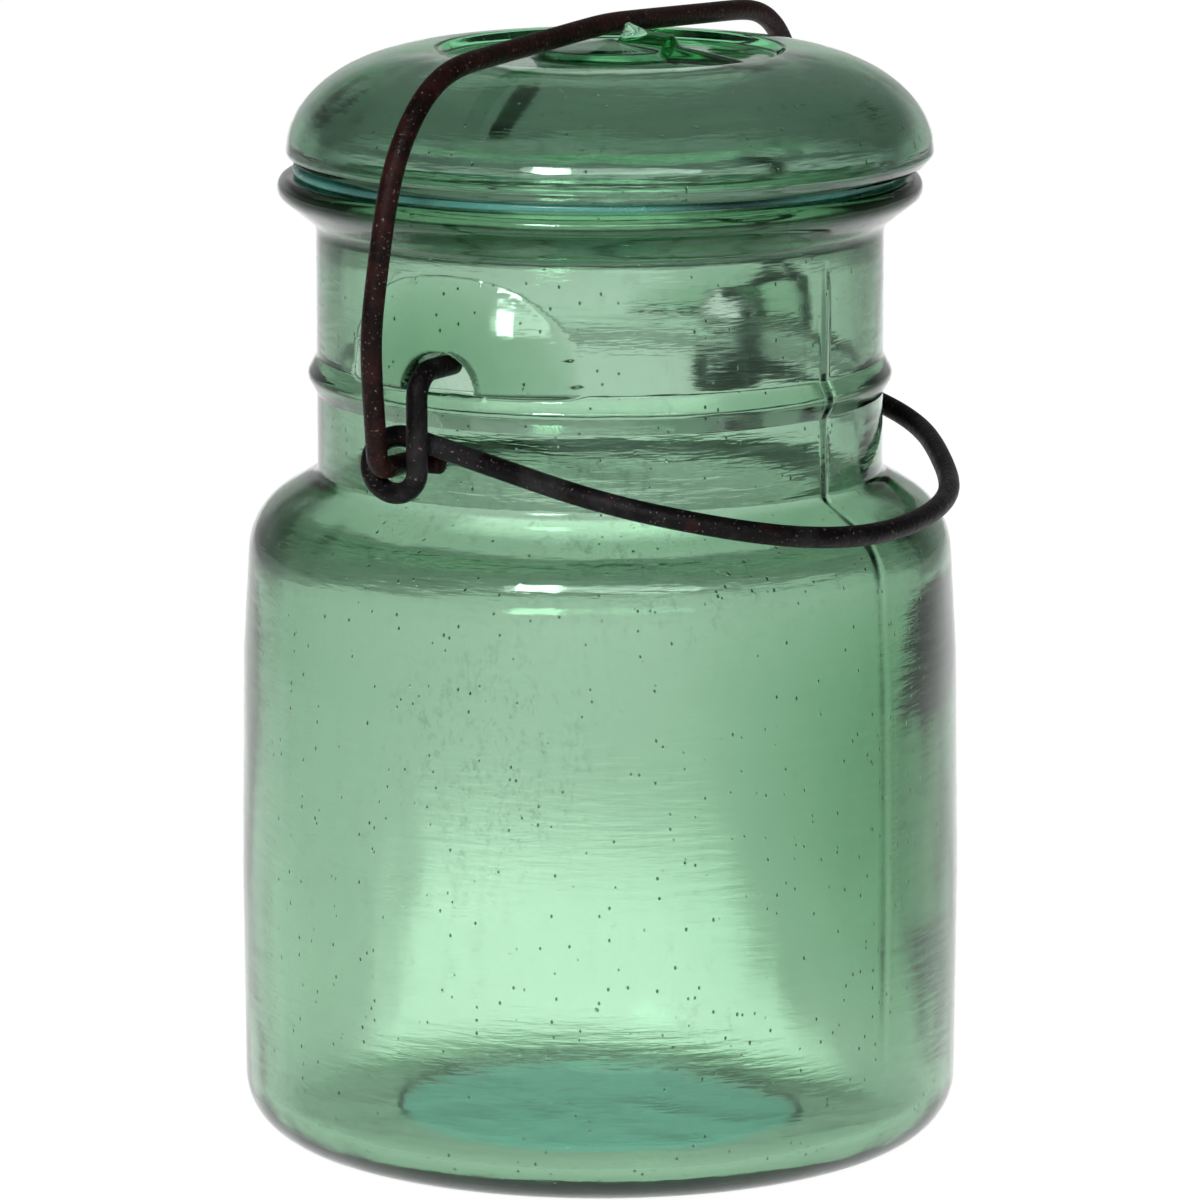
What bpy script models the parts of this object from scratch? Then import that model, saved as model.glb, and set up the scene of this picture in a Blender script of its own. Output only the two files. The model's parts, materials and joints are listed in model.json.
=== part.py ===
"""Glass preserving jar with a domed glass lid, held shut by a bail wire and a lever wire.

Units are metres. The jar stands on z = 0 with its axis on the Z axis. The wires pivot about
axes along X, and the lever's loop reaches towards -Y.
"""

import math

import bmesh
import bpy
from mathutils import Matrix, Vector

MM = 0.001

# Jar body, with each height counted from the one below it
BASE_RADIUS = 43.75 * MM
MIDDLE_BULGE = 0.3 * MM
MIDDLE_HEIGHT = 33.0 * MM
SIDE_TOP_TAPER = 0.05 * MM
SIDE_TOP_RISE = 27.0 * MM
SHOULDER_TAPER = 1.0 * MM
SHOULDER_RISE = 17.2 * MM
HEEL_FILLET = 7.0 * MM
SHOULDER_FILLET = 8.5 * MM
BASE_THICKNESS = 5.0 * MM
FLOOR_FILLET = 12.0 * MM
BODY_WALL = 3.0 * MM
SHOULDER_WALL = 3.2 * MM

# Neck, with its bead and flange
NECK_SETBACK = 8.2 * MM
NECK_FOOT_RISE = 4.8 * MM
NECK_FILLET = 1.6 * MM
NECK_WALL = 3.9 * MM
BEAD_REACH = 1.3 * MM
BEAD_RISE = 12.2 * MM
BEAD_HALF_WIDTH = 2.3 * MM
BEAD_FILLET = 1.2 * MM
FLANGE_REACH = 4.7 * MM
FLANGE_SLOPE_HEIGHT = 3.6 * MM
FLANGE_EDGE = 2.3 * MM
FLANGE_FILLET = 1.4 * MM
SEAT_RISE = 24.3 * MM
LIP_WALL = 2.7 * MM
LIP_RISE = 2.4 * MM
LIP_FILLET = 1.1 * MM
LIP_CHAMFER = 0.8 * MM

# Bosses on the neck, each with a half-round pocket for the end of the lever wire
BOSS_REACH = 3.2 * MM
BOSS_ROOT = 6.5 * MM
BOSS_HALF_WIDTH = 16.2 * MM
BOSS_HEIGHT = 18.5 * MM
BOSS_SEAT_DROP = 0.3 * MM
POCKET_HALF_WIDTH = 4.8 * MM
POCKET_STRAIGHT = 0.5 * MM
POCKET_SINK = 0.3 * MM
POCKET_WALL = 2.4 * MM

# Sealing ring
RING_THICKNESS = 0.8 * MM
RING_SETBACK = 1.9 * MM
RING_FILLET = 0.2 * MM

# Lid
LID_OVERHANG = 0.15 * MM
LID_SHIFT_X = 0.62 * MM
LID_SHIFT_Y = -1.03 * MM
LID_BEVEL = 1.3 * MM
LID_LIP_GAP = 0.5 * MM
LID_DOME_BASE = 1.4 * MM
LID_DOME_WIDTH = 18.05 * MM
LID_DOME_RISE = 12.5 * MM
LID_THICKNESS = 5.2 * MM
LID_INNER_FILLET = 9.0 * MM
LID_INNER_TAPER = 1.4 * MM
RECESS_DEPTH = 1.1 * MM
RECESS_SLOPE = 0.9 * MM
BUTTON_RADIUS = 9.6 * MM
BUTTON_TAPER = 0.9 * MM
BUTTON_RISE = 1.3 * MM
BUTTON_CROWN = 0.9 * MM

# Ridge on the lid, up which the bail climbs, with a peak that keeps the bail from slipping
RIDGE_LENGTH = 18.0 * MM
RIDGE_WIDTH = 3.2 * MM
RIDGE_PEAK = 2.1 * MM
RIDGE_PEAK_LENGTH = 1.3 * MM
RIDGE_CREST = 1.3 * MM
RIDGE_BEVEL = 0.5 * MM

# Lever wire
WIRE_RADIUS = 1.3 * MM
LEG_CLEARANCE = 2.8 * MM
LEG_LENGTH = 11.5 * MM
LEG_BEND = 3.2 * MM
EYE_HALF_WIDTH = 3.8 * MM
EYE_HALF_HEIGHT = 3.3 * MM
ARM_SLOPE = math.radians(12.6)
ARM_PINCH = 3.4 * MM
ARM_FLARE = 8.0 * MM
ARM_FLARE_BEND = 20.0 * MM
ARM_SIDE_LENGTH = 15.5 * MM
ARM_SIDE_BEND = 20.0 * MM
ARM_CORNER_SHARE = 0.508
ARM_CORNER_LENGTH = 19.5 * MM
ARM_CORNER_BEND = 22.0 * MM
ARM_FRONT_SHARE = 0.156
ARM_FRONT_LENGTH = 3.6 * MM
ARM_FRONT_BEND = 22.0 * MM
ARM_LEAN = 9.3 * MM

# Bail wire
BAIL_TIP_CLEARANCE = 1.1 * MM
BAIL_TIP_BEND = 2.2 * MM
BAIL_TIP_LENGTH = 4.3 * MM
BAIL_FOOT_STEP = 2.6 * MM
BAIL_FOOT_BEND = 2.6 * MM
BAIL_WIDEST_STEP = 4.3 * MM
BAIL_WIDEST_RISE = 16.5 * MM
BAIL_LEG_BEND = 20.0 * MM
BAIL_SHOULDER_STEP = 1.8 * MM
BAIL_SHOULDER_DROP = 11.5 * MM
BAIL_SHOULDER_BEND = 18.0 * MM
BAIL_SPREAD = 2.5 * MM
BAR_STEP = 7.7 * MM
BAR_DROP = 1.9 * MM
BAR_BEND = 13.0 * MM

# Clearances
FIT_GAP = 0.3 * MM
RING_GAP = 0.25 * MM
BAR_GAP = 0.65 * MM

# Facets
TURN_STEPS = 60
ARC_STEP = math.radians(22.0)
BEND_STEP = math.radians(10.0)
EYE_STEP = math.radians(16.0)
WIRE_RESOLUTION = 3
SHARP_ANGLE = math.radians(35.0)

# Radii that follow from the sizes above
MIDDLE_RADIUS = BASE_RADIUS + MIDDLE_BULGE
SIDE_TOP_RADIUS = BASE_RADIUS - SIDE_TOP_TAPER
SHOULDER_RADIUS = SIDE_TOP_RADIUS - SHOULDER_TAPER
NECK_RADIUS = SHOULDER_RADIUS - NECK_SETBACK
BORE_RADIUS = NECK_RADIUS - NECK_WALL
BEAD_RADIUS = NECK_RADIUS + BEAD_REACH
FLANGE_RADIUS = NECK_RADIUS + FLANGE_REACH
LIP_RADIUS = BORE_RADIUS + LIP_WALL
BOSS_RADIUS = NECK_RADIUS + BOSS_REACH
BOSS_CENTRE = NECK_RADIUS - BOSS_ROOT
POCKET_DEPTH_RADIUS = BORE_RADIUS + POCKET_WALL
LID_RADIUS = FLANGE_RADIUS + LID_OVERHANG
LID_SHIFT = math.hypot(LID_SHIFT_X, LID_SHIFT_Y)
RIM_INNER_RADIUS = LIP_RADIUS + LID_SHIFT + LID_LIP_GAP

# Heights that follow from the sizes above
SIDE_TOP_HEIGHT = MIDDLE_HEIGHT + SIDE_TOP_RISE
SHOULDER_HEIGHT = SIDE_TOP_HEIGHT + SHOULDER_RISE
NECK_FOOT_HEIGHT = SHOULDER_HEIGHT + NECK_FOOT_RISE
BEAD_HEIGHT = NECK_FOOT_HEIGHT + BEAD_RISE
SEAT_HEIGHT = BEAD_HEIGHT + SEAT_RISE
FLANGE_EDGE_HEIGHT = SEAT_HEIGHT - FLANGE_EDGE
FLANGE_FOOT_HEIGHT = FLANGE_EDGE_HEIGHT - FLANGE_SLOPE_HEIGHT
LIP_HEIGHT = SEAT_HEIGHT + LIP_RISE
BOSS_SEAT = BEAD_HEIGHT + BEAD_HALF_WIDTH - BOSS_SEAT_DROP
POCKET_FLOOR = BOSS_SEAT - POCKET_SINK
POCKET_SPRING = POCKET_FLOOR + POCKET_STRAIGHT
RING_BOTTOM = SEAT_HEIGHT + RING_GAP
LID_BOTTOM = RING_BOTTOM + RING_THICKNESS + RING_GAP
DOME_FOOT = LID_BOTTOM + LID_DOME_BASE
DOME_TOP = DOME_FOOT + LID_DOME_RISE
RECESS_FLOOR = DOME_TOP - RECESS_DEPTH
BUTTON_TOP = RECESS_FLOOR + BUTTON_RISE + BUTTON_CROWN
BAR_HEIGHT = BUTTON_TOP + BAR_GAP + WIRE_RADIUS

# Places of the wires that follow from the sizes above
PIVOT_HEIGHT = POCKET_SPRING + POCKET_HALF_WIDTH - FIT_GAP - WIRE_RADIUS
LEG_OFFSET = BOSS_RADIUS + LEG_CLEARANCE + WIRE_RADIUS
EYE_HEIGHT = PIVOT_HEIGHT - LEG_LENGTH
EYE_SETBACK = EYE_HALF_WIDTH
EYE_GAP = 2.0 * WIRE_RADIUS + FIT_GAP
ARM_HALF_WIDTH = LEG_OFFSET - ARM_PINCH
ARM_SIDE_REACH = ARM_FLARE + ARM_SIDE_LENGTH
ARM_CORNER_OFFSET = ARM_CORNER_SHARE * ARM_HALF_WIDTH
ARM_CORNER_REACH = ARM_SIDE_REACH + ARM_CORNER_LENGTH
ARM_FRONT_OFFSET = ARM_FRONT_SHARE * ARM_HALF_WIDTH
ARM_REACH = ARM_CORNER_REACH + ARM_FRONT_LENGTH
BAIL_TIP_OFFSET = NECK_RADIUS + BAIL_TIP_CLEARANCE + WIRE_RADIUS
BAIL_FOOT = LEG_OFFSET + BAIL_FOOT_STEP
BAIL_WIDEST = BAIL_FOOT + BAIL_WIDEST_STEP
BAIL_SHOULDER = BAIL_WIDEST - BAIL_SHOULDER_STEP
BAR_END = BAIL_SHOULDER - BAR_STEP


def clear_objects():
    """Empty the file before the model is built."""
    for item in list(bpy.data.objects):
        bpy.data.objects.remove(item, do_unlink=True)


def principled(name, colour, roughness, metallic=0.0, transmission=0.0):
    """A plain Principled material."""
    material = bpy.data.materials.new(name)
    material.use_nodes = True
    shader = material.node_tree.nodes["Principled BSDF"]
    shader.inputs["Base Color"].default_value = (*colour, 1.0)
    shader.inputs["Roughness"].default_value = roughness
    shader.inputs["Metallic"].default_value = metallic
    shader.inputs["Transmission Weight"].default_value = transmission
    return material


def rounded_outline(corners, closed=False):
    """Points of an outline whose (x, y, fillet) corners are rounded with arcs."""
    points = []
    count = len(corners)
    for index, (x, y, fillet) in enumerate(corners):
        here = Vector((x, y))
        at_end = not closed and index in (0, count - 1)
        if fillet <= 0.0 or at_end:
            points.append(here)
            continue
        before = Vector(corners[index - 1][:2])
        after = Vector(corners[(index + 1) % count][:2])
        points.extend(corner_arc(before, here, after, fillet, ARC_STEP))
    return points


def corner_arc(before, corner, after, radius, step):
    """Points of the arc that rounds one corner, in two or three dimensions."""
    back = (before - corner).normalized()
    ahead = (after - corner).normalized()
    half_turn = 0.5 * (math.pi - back.angle(ahead))
    trim = radius * math.tan(half_turn)
    centre = corner + (back + ahead).normalized() * (radius / math.cos(half_turn))
    start = corner + back * trim - centre
    count = max(2, math.ceil(2.0 * half_turn / step))
    arc = []
    for index in range(count + 1):
        angle = 2.0 * half_turn * index / count
        arc.append(centre + start * math.cos(angle) - back * (radius * math.sin(angle)))
    return arc


def inset_corner(before, corner, after, wall_before, wall_after):
    """Where the two edges of a corner meet after each has moved in by its own wall."""
    first = (corner - before).normalized()
    second = (after - corner).normalized()
    start = corner + Vector((-first.y, first.x)) * wall_before
    other = corner + Vector((-second.y, second.x)) * wall_after
    gap = other - start
    along = (gap.x * second.y - gap.y * second.x) / (first.x * second.y - first.y * second.x)
    return start + first * along


def add_object(name, data, material=None, location=(0.0, 0.0, 0.0)):
    """Put mesh or curve data into the scene as an object."""
    item = bpy.data.objects.new(name, data)
    item.location = location
    if material:
        data.materials.append(material)
    bpy.context.scene.collection.objects.link(item)
    return item


def mesh_from(bm, name):
    """Turn a bmesh into smooth-shaded mesh data with its faces pointing out."""
    bmesh.ops.recalc_face_normals(bm, faces=bm.faces)
    mesh = bpy.data.meshes.new(name)
    bm.to_mesh(mesh)
    bm.free()
    mesh.shade_smooth()
    mesh.set_sharp_from_angle(angle=SHARP_ANGLE)
    return mesh


def turned_mesh(name, outline, closed=False):
    """Spin an outline of (radius, height) points once about the Z axis."""
    bm = bmesh.new()
    verts = [bm.verts.new((point.x, 0.0, point.y)) for point in outline]
    pairs = list(zip(verts, verts[1:]))
    if closed:
        pairs.append((verts[-1], verts[0]))
    edges = [bm.edges.new(pair) for pair in pairs]
    bmesh.ops.spin(
        bm,
        geom=verts + edges,
        cent=(0.0, 0.0, 0.0),
        axis=(0.0, 0.0, 1.0),
        angle=math.tau,
        steps=TURN_STEPS,
        use_merge=True,
    )
    bmesh.ops.remove_doubles(bm, verts=bm.verts, dist=0.001 * MM)
    return mesh_from(bm, name)


def as_tool(item):
    """Mark an object as a helper that only shapes another one."""
    item.hide_render = True
    item.display_type = "WIRE"


def apply_tool(target, tool, operation):
    """Add a Boolean of the target with a helper object."""
    modifier = target.modifiers.new(tool.name, "BOOLEAN")
    modifier.operation = operation
    modifier.object = tool
    modifier.solver = "EXACT"


def side_corners():
    """Corners of the jar's side, from the heel to the flange, as vectors."""
    return [
        Vector((BASE_RADIUS, 0.0)),
        Vector((MIDDLE_RADIUS, MIDDLE_HEIGHT)),
        Vector((SIDE_TOP_RADIUS, SIDE_TOP_HEIGHT)),
        Vector((SHOULDER_RADIUS, SHOULDER_HEIGHT)),
        Vector((NECK_RADIUS, NECK_FOOT_HEIGHT)),
        Vector((NECK_RADIUS, FLANGE_FOOT_HEIGHT)),
    ]


def jar_outline():
    """Outside of the jar, from the middle of its base to the middle of its mouth."""
    heel, middle, side_top, shoulder, neck_foot, neck_top = side_corners()
    return rounded_outline([
        (0.0, 0.0, 0.0),
        (*heel, HEEL_FILLET),
        (*middle, 0.0),
        (*side_top, 0.0),
        (*shoulder, SHOULDER_FILLET),
        (*neck_foot, NECK_FILLET),
        (NECK_RADIUS, BEAD_HEIGHT - BEAD_HALF_WIDTH, 0.0),
        (BEAD_RADIUS, BEAD_HEIGHT, BEAD_FILLET),
        (NECK_RADIUS, BEAD_HEIGHT + BEAD_HALF_WIDTH, 0.0),
        (*neck_top, NECK_FILLET),
        (FLANGE_RADIUS, FLANGE_EDGE_HEIGHT, NECK_FILLET),
        (FLANGE_RADIUS, SEAT_HEIGHT, FLANGE_FILLET),
        (LIP_RADIUS, SEAT_HEIGHT, 0.0),
        (LIP_RADIUS, LIP_HEIGHT, LIP_FILLET),
        (0.0, LIP_HEIGHT, 0.0),
    ])


def cavity_outline():
    """Inside of the jar, from the middle of its floor to above its mouth."""
    heel, middle, side_top, shoulder, neck_foot, neck_top = side_corners()
    inner_heel = inset_corner(Vector((0.0, 0.0)), heel, middle, BASE_THICKNESS, BODY_WALL)
    inner_middle = inset_corner(heel, middle, side_top, BODY_WALL, BODY_WALL)
    inner_top = inset_corner(middle, side_top, shoulder, BODY_WALL, BODY_WALL)
    inner_shoulder = inset_corner(side_top, shoulder, neck_foot, BODY_WALL, SHOULDER_WALL)
    inner_neck = inset_corner(shoulder, neck_foot, neck_top, SHOULDER_WALL, NECK_WALL)
    return rounded_outline([
        (0.0, BASE_THICKNESS, 0.0),
        (*inner_heel, FLOOR_FILLET),
        (*inner_middle, 0.0),
        (*inner_top, 0.0),
        (*inner_shoulder, SHOULDER_FILLET - BODY_WALL),
        (*inner_neck, NECK_FILLET + NECK_WALL),
        (BORE_RADIUS, LIP_HEIGHT - LIP_CHAMFER, 0.0),
        (BORE_RADIUS + 2.0 * LIP_CHAMFER, LIP_HEIGHT + LIP_CHAMFER, 0.0),
        (0.0, LIP_HEIGHT + LIP_CHAMFER, 0.0),
    ])


def boss_mesh(side):
    """Rounded boss: an egg shape on the neck, cut flat where it sits on the bead."""
    bm = bmesh.new()
    bmesh.ops.create_uvsphere(bm, u_segments=32, v_segments=16, radius=1.0)
    scale = Matrix.Diagonal((BOSS_RADIUS - BOSS_CENTRE, BOSS_HALF_WIDTH, BOSS_HEIGHT, 1.0))
    place = Matrix.Translation((side * BOSS_CENTRE, 0.0, BOSS_SEAT))
    bmesh.ops.transform(bm, matrix=place @ scale, verts=bm.verts)
    cut = bmesh.ops.bisect_plane(
        bm,
        geom=bm.verts[:] + bm.edges[:] + bm.faces[:],
        dist=0.01 * MM,
        plane_co=(0.0, 0.0, BOSS_SEAT),
        plane_no=(0.0, 0.0, -1.0),
        clear_outer=True,
    )
    rim = [item for item in cut["geom_cut"] if isinstance(item, bmesh.types.BMEdge)]
    bmesh.ops.contextual_create(bm, geom=rim)
    return mesh_from(bm, "boss")


def pocket_mesh(side):
    """Half-round pocket, pushed along X from outside the boss to its end in the neck."""
    bm = bmesh.new()
    outline = [(-POCKET_HALF_WIDTH, POCKET_FLOOR), (POCKET_HALF_WIDTH, POCKET_FLOOR)]
    arc_count = 12
    for index in range(arc_count + 1):
        angle = math.pi * index / arc_count
        outline.append((
            POCKET_HALF_WIDTH * math.cos(angle),
            POCKET_SPRING + POCKET_HALF_WIDTH * math.sin(angle),
        ))
    start = side * POCKET_DEPTH_RADIUS
    face = bm.faces.new([bm.verts.new((start, y, z)) for y, z in outline])
    pushed = bmesh.ops.extrude_face_region(bm, geom=[face])
    moved = [item for item in pushed["geom"] if isinstance(item, bmesh.types.BMVert)]
    bmesh.ops.translate(bm, verts=moved, vec=(side * (BOSS_RADIUS + FIT_GAP) - start, 0.0, 0.0))
    return mesh_from(bm, "pocket")


def build_jar():
    """The jar: a turned blank with two bosses, hollowed, with a pocket in each boss."""
    glass = principled("jar_glass", (0.36, 0.62, 0.47), 0.06, transmission=0.85)
    jar = add_object("glass_jar", turned_mesh("glass_jar", jar_outline()), glass)
    cavity = add_object("cavity", turned_mesh("cavity", cavity_outline()))
    tools = []
    for label, side in (("left", -1.0), ("right", 1.0)):
        tools.append((add_object("boss_" + label, boss_mesh(side)), "UNION"))
    tools.append((cavity, "DIFFERENCE"))
    for label, side in (("left", -1.0), ("right", 1.0)):
        tools.append((add_object("pocket_" + label, pocket_mesh(side)), "DIFFERENCE"))
    for tool, operation in tools:
        as_tool(tool)
        apply_tool(jar, tool, operation)
    return jar


def build_ring():
    """The thin sealing ring that lies on the flange round the lip."""
    rubber = principled("ring_rubber", (0.62, 0.80, 0.70), 0.45, transmission=0.3)
    inner = LIP_RADIUS + FIT_GAP
    outer = FLANGE_RADIUS - RING_SETBACK
    outline = rounded_outline([
        (inner, 0.0, RING_FILLET),
        (outer, 0.0, RING_FILLET),
        (outer, RING_THICKNESS, RING_FILLET),
        (inner, RING_THICKNESS, RING_FILLET),
    ], closed=True)
    mesh = turned_mesh("sealing_ring", outline, closed=True)
    return add_object("sealing_ring", mesh, rubber, (0.0, 0.0, RING_BOTTOM))


def lid_outline():
    """Half section of the lid from its ceiling to its top, with heights from its underside."""
    rim_inner = RIM_INNER_RADIUS
    dome_centre = LID_RADIUS - LID_DOME_WIDTH
    ceiling = DOME_TOP - LID_BOTTOM - LID_THICKNESS
    floor = RECESS_FLOOR - LID_BOTTOM
    section = rounded_outline([
        (0.0, ceiling, 0.0),
        (rim_inner - LID_INNER_TAPER, ceiling, LID_INNER_FILLET),
        (rim_inner, 0.0, 0.0),
    ])
    section.append(Vector((LID_RADIUS - LID_BEVEL, 0.0)))
    dome_steps = 10
    for index in range(dome_steps + 1):
        angle = 0.5 * math.pi * index / dome_steps
        section.append(Vector((
            dome_centre + LID_DOME_WIDTH * math.cos(angle),
            LID_DOME_BASE + LID_DOME_RISE * math.sin(angle),
        )))
    section.append(Vector((dome_centre - RECESS_SLOPE, floor)))
    section.append(Vector((BUTTON_RADIUS, floor)))
    section.append(Vector((BUTTON_RADIUS - BUTTON_TAPER, floor + BUTTON_RISE)))
    section.append(Vector((0.0, BUTTON_TOP - LID_BOTTOM)))
    return section


def ridge_mesh():
    """Tapering ridge from the button's peak down to the recess wall, about the lid's centre."""
    start = -WIRE_RADIUS - BAR_GAP
    floor = RECESS_FLOOR - LID_BOTTOM - RIDGE_BEVEL
    peak = BUTTON_TOP - LID_BOTTOM + BAR_GAP + RIDGE_PEAK
    button_edge = -BUTTON_RADIUS + BUTTON_TAPER
    section = [
        (start, floor),
        (start, peak - RIDGE_BEVEL),
        (start - RIDGE_BEVEL, peak),
        (start - RIDGE_PEAK_LENGTH, peak - RIDGE_BEVEL),
        (button_edge + RIDGE_PEAK_LENGTH, floor + RIDGE_BEVEL + BUTTON_RISE + RIDGE_CREST),
        (start - RIDGE_LENGTH, floor + RIDGE_BEVEL + 0.5 * RECESS_DEPTH),
        (start - RIDGE_LENGTH, floor),
    ]
    bm = bmesh.new()
    face = bm.faces.new([bm.verts.new((-0.5 * RIDGE_WIDTH, y, z)) for y, z in section])
    pushed = bmesh.ops.extrude_face_region(bm, geom=[face])
    moved = [item for item in pushed["geom"] if isinstance(item, bmesh.types.BMVert)]
    bmesh.ops.translate(bm, verts=moved, vec=(RIDGE_WIDTH, 0.0, 0.0))
    for vert in bm.verts:
        rise = (vert.co.z - floor) / (peak - floor)
        vert.co.x *= 1.0 - 0.6 * rise
    return mesh_from(bm, "ridge")


def build_lid():
    """The domed lid, hollow below, with the ridge joined to its top."""
    glass = principled("lid_glass", (0.36, 0.62, 0.47), 0.06, transmission=0.85)
    place = (LID_SHIFT_X, LID_SHIFT_Y, LID_BOTTOM)
    lid = add_object("glass_lid", turned_mesh("glass_lid", lid_outline()), glass, place)
    ridge = add_object("ridge", ridge_mesh(), None, place)
    as_tool(ridge)
    apply_tool(lid, ridge, "UNION")
    return lid


def bent_path(corners):
    """Wire centre line through (point, bend radius) corners."""
    path = []
    last = len(corners) - 1
    for index, (point, bend) in enumerate(corners):
        if bend <= 0.0 or index in (0, last):
            path.append(point.copy())
            continue
        path.extend(corner_arc(corners[index - 1][0], point, corners[index + 1][0], bend, BEND_STEP))
    return path


def mirrored(half, other_half):
    """A whole centre line from two halves, both drawn at -X and ending at the middle."""
    other = [Vector((-point.x, point.y, point.z)) for point in reversed(other_half[:-1])]
    return half + other


def wire_object(name, path, origin, material):
    """A round wire along a centre line, with its origin on its own pivot axis."""
    curve = bpy.data.curves.new(name, "CURVE")
    curve.dimensions = "3D"
    curve.bevel_depth = WIRE_RADIUS
    curve.bevel_resolution = WIRE_RESOLUTION
    curve.use_fill_caps = True
    spline = curve.splines.new("POLY")
    spline.points.add(len(path) - 1)
    for slot, point in zip(spline.points, path):
        slot.co = (*(point - origin), 1.0)
    return add_object(name, curve, material, origin)


def lever_half(lean):
    """Lever wire at -X: pocket end, bend, leg, eye and half of the loop."""
    tip = Vector((-POCKET_DEPTH_RADIUS - FIT_GAP, 0.0, PIVOT_HEIGHT))
    corner = Vector((-LEG_OFFSET, 0.0, PIVOT_HEIGHT))
    foot = Vector((-LEG_OFFSET, 0.0, EYE_HEIGHT))
    half = bent_path([(tip, 0.0), (corner, LEG_BEND), (foot, 0.0)])
    sweep = 1.5 * math.pi + ARM_SLOPE
    steps = math.ceil(sweep / EYE_STEP)
    for index in range(1, steps + 1):
        turn = sweep * index / steps
        half.append(Vector((
            -LEG_OFFSET + EYE_GAP * turn / sweep,
            EYE_SETBACK - EYE_HALF_WIDTH * math.cos(turn),
            EYE_HEIGHT - EYE_HALF_HEIGHT * math.sin(turn),
        )))
    eye_exit = half.pop()

    def at(across, reach):
        drop = (eye_exit.y + reach) * math.tan(ARM_SLOPE)
        past = max(0.0, reach - ARM_SIDE_REACH) / (ARM_REACH - ARM_SIDE_REACH)
        return Vector((-across - lean * past ** 1.5, -reach, eye_exit.z - drop))

    return half + bent_path([
        (eye_exit, 0.0),
        (at(ARM_HALF_WIDTH, ARM_FLARE), ARM_FLARE_BEND),
        (at(ARM_HALF_WIDTH, ARM_SIDE_REACH), ARM_SIDE_BEND),
        (at(ARM_CORNER_OFFSET, ARM_CORNER_REACH), ARM_CORNER_BEND),
        (at(ARM_FRONT_OFFSET, ARM_REACH), ARM_FRONT_BEND),
        (at(0.0, ARM_REACH), 0.0),
    ])


def bail_half(spread):
    """Bail wire at -X: hooked tip through the lever's eye, leg, shoulder and half of the bar."""
    eye = Vector((0.0, EYE_SETBACK, EYE_HEIGHT))
    bar = Vector((0.0, LID_SHIFT_Y, BAR_HEIGHT))
    rise = (bar - eye).normalized()
    length = (bar - eye).length

    def at(across, up):
        return Vector((-across, 0.0, 0.0)) + eye + rise * up

    tip = at(BAIL_TIP_OFFSET, 0.0) - Vector((0.0, BAIL_TIP_LENGTH, 0.0))
    return bent_path([
        (tip, 0.0),
        (at(BAIL_TIP_OFFSET, 0.0), BAIL_TIP_BEND),
        (at(BAIL_FOOT, 0.0), BAIL_FOOT_BEND),
        (at(BAIL_WIDEST, BAIL_WIDEST_RISE), BAIL_LEG_BEND),
        (at(BAIL_SHOULDER + spread, length - BAIL_SHOULDER_DROP), BAIL_SHOULDER_BEND),
        (at(BAR_END, length - BAR_DROP), BAR_BEND),
        (bar, 0.0),
    ])


def build_wires():
    """The lever wire on its pockets, and the bail wire that hangs in the lever's eyes."""
    lever_iron = principled("lever_iron", (0.030, 0.022, 0.020), 0.55, metallic=0.7)
    bail_iron = principled("bail_iron", (0.075, 0.030, 0.022), 0.6, metallic=0.6)
    pivot = Vector((0.0, 0.0, PIVOT_HEIGHT))
    eye = Vector((0.0, EYE_SETBACK, EYE_HEIGHT))
    lever_path = mirrored(lever_half(ARM_LEAN), lever_half(-ARM_LEAN))
    bail_path = mirrored(bail_half(0.0), bail_half(BAIL_SPREAD))
    lever = wire_object("lever_wire", lever_path, pivot, lever_iron)
    bail = wire_object("bail_wire", bail_path, eye, bail_iron)
    bail.parent = lever
    bail.location = eye - pivot


def main():
    clear_objects()
    build_jar()
    build_ring()
    build_lid()
    build_wires()


main()
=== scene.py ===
"""Looks of a glass preserving jar with a domed glass lid and a wire closure."""

import json
import math

import bpy
import numpy as np
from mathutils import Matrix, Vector


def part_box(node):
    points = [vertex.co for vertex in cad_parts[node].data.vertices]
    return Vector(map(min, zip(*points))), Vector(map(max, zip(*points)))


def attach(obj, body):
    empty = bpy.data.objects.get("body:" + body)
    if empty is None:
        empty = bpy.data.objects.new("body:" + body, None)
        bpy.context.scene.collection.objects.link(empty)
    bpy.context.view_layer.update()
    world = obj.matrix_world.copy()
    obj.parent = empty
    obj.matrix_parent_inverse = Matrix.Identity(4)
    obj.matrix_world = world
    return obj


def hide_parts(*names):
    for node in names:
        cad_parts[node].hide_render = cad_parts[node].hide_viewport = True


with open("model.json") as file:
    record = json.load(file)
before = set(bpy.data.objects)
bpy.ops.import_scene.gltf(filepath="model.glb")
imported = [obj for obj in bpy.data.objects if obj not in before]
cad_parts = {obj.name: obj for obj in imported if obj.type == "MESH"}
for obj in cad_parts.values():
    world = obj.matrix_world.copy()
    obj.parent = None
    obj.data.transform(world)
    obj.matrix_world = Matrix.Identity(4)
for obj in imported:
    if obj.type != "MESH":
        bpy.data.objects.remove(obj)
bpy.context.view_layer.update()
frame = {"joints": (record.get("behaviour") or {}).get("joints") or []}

bl_info = {
    "name": "Preserving jar",
    "version": (1, 0, 0),
    "blender": (4, 5, 0),
    "location": "3D View > Sidebar > Preserving Jar",
    "description": "Glass jar, glass lid, sealing ring, lever wire and bail wire",
    "category": "Add Mesh",
}

MM = 0.001
JOINT_PLACE = {joint["name"]: joint.get("pos_m") for joint in frame["joints"]}
LID_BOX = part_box("glass_lid")
RING_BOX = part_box("sealing_ring")
SEAM_TURN = 82.0
SEEDS_ABOVE = 0.74
BASE_DISC = 25.0 * MM
WIRE_SPACING = 0.55 * MM


# Sizes and colours

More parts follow.
